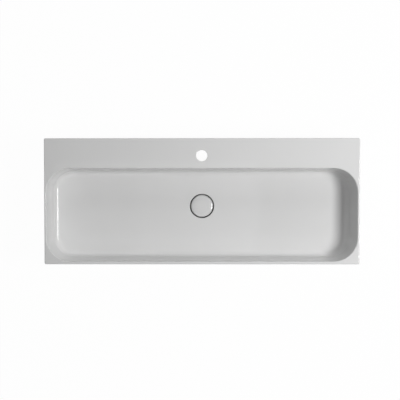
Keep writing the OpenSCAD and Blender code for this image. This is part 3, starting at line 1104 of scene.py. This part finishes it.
def build_waste_body():
    """Flange, threaded tube and the three arms that hold the cartridge, in one casting."""
    low_z, high_z = levels("waste_body")
    flange_z = levels("flange_gasket")[1]
    flange_r = 31.5 * mm
    flange_edge = 0.3 * mm
    flange_bevel = 1 * mm
    mouth = 3 * mm
    outlet_bevel = 0.5 * mm
    collar_z = flange_z - 4 * mm
    wide = tube_r + fit_gap
    chamfer = wide - tube_root_r
    groove_w = 2 * mm
    groove_z = levels("back_nut")[0] - 1 * mm
    groove_r = tube_root_r - 0.2 * mm
    blank = [(tube_root_r, low_z), (wide, low_z + chamfer), (wide, groove_z - groove_w - chamfer),
             (groove_r, groove_z - groove_w), (groove_r, groove_z), (wide, groove_z + chamfer),
             (wide, collar_z + 1 * mm)]
    body = threaded_bar("waste_casting", tube_r, tube_root_r, tube_pitch, blank)
    head = [(tube_root_r, collar_z), (tube_r, collar_z + tube_r - tube_root_r), (tube_r, flange_z),
            (flange_r - flange_edge, flange_z), (flange_r, flange_z + flange_edge),
            (flange_r, high_z - flange_bevel), (flange_r - 0.7 * flange_bevel, high_z - 0.3 * flange_bevel),
            (flange_r - flange_bevel, high_z)]
    combine(body, lathe("head", head, wide_sides), "UNION")
    over = 1 * mm
    bore = [(tube_bore_r + outlet_bevel + over, low_z - over), (tube_bore_r, low_z + outlet_bevel),
            (tube_bore_r, high_z - mouth), (tube_bore_r + mouth + over, high_z + over)]
    combine(body, lathe("bore", bore, wide_sides))
    combine(body, hub(), "UNION")
    finish(body, "waste_body", "basin", chrome)


def hub():
    """Hub for the cartridge's spigot, on three arms."""
    top_z = levels("cartridge_spring")[0] - sleeve_foot_t
    low_z = top_z - 8 * mm
    bore = spigot_r + fit_gap
    r = 9 * mm
    arm_w = 3 * mm
    arm_gap = 1 * mm
    middle = lathe("hub", eased([(bore, low_z), (r, low_z), (r, top_z), (bore, top_z)], 0.5 * mm))
    arm = add_block("arm", (r - 1.5 * mm, -arm_w / 2, low_z + arm_gap),
                    (tube_bore_r + 0.5 * mm, arm_w / 2, top_z - arm_gap))
    round_edges(arm, 0.8 * mm, 3, lambda middle, along: abs(along.x) > 0.9)
    combine(middle, join(*turned_copies(arm, (90, 210, 330))), "UNION")
    return middle


def build_flange_gasket():
    gasket = ring("gasket_ring", "flange_gasket", inner_r=tube_r + 0.5 * mm, outer_r=31 * mm, ease=0.4 * mm)
    finish(gasket, "flange_gasket", "basin", rubber)


def build_cone_washer():
    """Rubber washer whose nose reaches into the drain hole."""
    low_z, high_z = levels("cone_washer")
    shelf = high_z - 3 * mm
    bore = tube_r + fit_gap
    r = 30 * mm
    corners = [(bore, low_z), (r, low_z), (r, shelf), (drain_r - 0.4 * mm, shelf), (bore + 0.6 * mm, high_z),
               (bore, high_z)]
    washer = lathe("cone_ring", eased(corners, 0.5 * mm), wide_sides)
    finish(washer, "cone_washer", "basin", rubber)


def build_slip_washer():
    washer = ring("slip_ring", "slip_washer", inner_r=tube_r + fit_gap, outer_r=30 * mm, ease=0.25 * mm)
    finish(washer, "slip_washer", "basin", white_plastic)


def build_back_nut():
    clamp = nut("octagon_nut", "back_nut", sides=8, across_corners_r=30 * mm,
                bore_r=tube_r + fit_gap, chamfer=0.8 * mm)
    finish(clamp, "back_nut", "basin", brass, angle=25)


build_basin()
build_drain_cover()
build_cover_pad()
build_cover_carrier()
build_plug_seal()
build_stem_lock_nut()
build_cover_stem()
build_plunger()
build_cam_rotor()
build_spring_seat()
build_spring()
build_cartridge_cap()
build_plunger_seal()
build_cartridge_sleeve()
build_waste_body()
build_flange_gasket()
build_cone_washer()
build_slip_washer()
build_back_nut()


# Camera, lamps and ground

def set_camera():
    """Camera above the basin, about a degree off the vertical, as in the photo."""
    camera = bpy.data.cameras.new("camera")
    camera.sensor_width = 36
    camera.lens = 62.56
    camera.clip_end = 20
    holder = bpy.data.objects.new("camera", camera)
    height = 2.2
    holder.location = (6.1 * mm, -139.6 * mm, rim_z + height)
    holder.rotation_euler = [math.radians(turn) for turn in (-1.46, 0.31, -0.02)]
    bpy.context.scene.collection.objects.link(holder)
    bpy.context.scene.camera = holder


def add_softbox(name, place, target, width, height, radiance, mirrored=True):
    """Rectangular lamp of an even radiance that faces a target. If mirrored, glossy surfaces show it."""
    lamp = bpy.data.lights.new(name, "AREA")
    lamp.shape = "RECTANGLE"
    lamp.size = width
    lamp.size_y = height
    lamp.energy = radiance * width * height * math.pi
    holder = bpy.data.objects.new(name, lamp)
    holder.location = place
    holder.visible_glossy = mirrored
    holder.rotation_euler = (Vector(target) - Vector(place)).to_track_quat("-Z", "Y").to_euler()
    bpy.context.scene.collection.objects.link(holder)


def seen_directly(tree):
    """Mask that is 1 for what the camera, a reflection or glass shows."""
    path = tree.nodes.new("ShaderNodeLightPath").outputs
    first = add(tree, "Math", {0: path["Is Camera Ray"], 1: path["Is Glossy Ray"]}, operation="MAXIMUM")
    both = add(tree, "Math", {0: first.outputs[0], 1: path["Is Transmission Ray"]}, operation="MAXIMUM")
    return both.outputs[0]


def set_world(light):
    """White surroundings that light the basin only weakly."""
    world = bpy.data.worlds.new("studio")
    bpy.context.scene.world = world
    world.use_nodes = True
    tree = world.node_tree
    background = tree.nodes["Background"]
    background.inputs["Color"].default_value = (1, 1, 1, 1)
    tree.links.new(between(tree, seen_directly(tree), light, 1), background.inputs["Strength"])


def lay_ground():
    """White ground that keeps a faint shadow of the basin."""
    bpy.ops.object.select_all(action="DESELECT")
    bpy.ops.mesh.primitive_plane_add(size=8, location=(0, middle_y, cad_box[0][2]))
    ground = take("ground")
    material = bpy.data.materials.new("white_ground")
    material.use_nodes = True
    tree = material.node_tree
    matt = tree.nodes["Principled BSDF"]
    matt.inputs["Base Color"].default_value = (0.9, 0.9, 0.9, 1)
    matt.inputs["Roughness"].default_value = 1
    matt.inputs["Specular IOR Level"].default_value = 0
    white = add(tree, "Emission", {"Color": (1, 1, 1, 1), "Strength": 1})
    white_share = 0.975
    share = between(tree, seen_directly(tree), 0, white_share)
    mix = add(tree, "MixShader", {"Fac": share, 1: matt.outputs["BSDF"], 2: white.outputs["Emission"]})
    tree.links.new(mix.outputs["Shader"], tree.nodes["Material Output"].inputs["Surface"])
    ground.data.materials.append(material)


centre = (0, middle_y, 0)
left_part = (-0.3, -0.27, 0)
set_camera()
add_softbox("key_softbox", (1.44, -0.345, 2.0), centre, width=0.76, height=0.66, radiance=24.5)
add_softbox("low_softbox", (2.0, -0.35, 0.45), centre, width=0.5, height=0.5, radiance=4.2, mirrored=False)
add_softbox("back_softbox", (0, 1.8, 1.2), centre, width=3, height=0.9, radiance=1.8)
add_softbox("front_softbox", (0, -2.2, 1.3), centre, width=3, height=0.9, radiance=0.7)
add_softbox("back_left_softbox", (-0.6, 1.0, 2.1), centre, width=0.7, height=0.5, radiance=2)
add_softbox("front_left_softbox", (-0.6, -1.4, 2.1), centre, width=0.7, height=0.5, radiance=3.5)
add_softbox("top_softbox", (-0.3, -0.27, 2.4), left_part, width=1.3, height=0.53, radiance=0.9)
set_world(light=0.01)
lay_ground()
bpy.context.scene.view_settings.view_transform = "Standard"
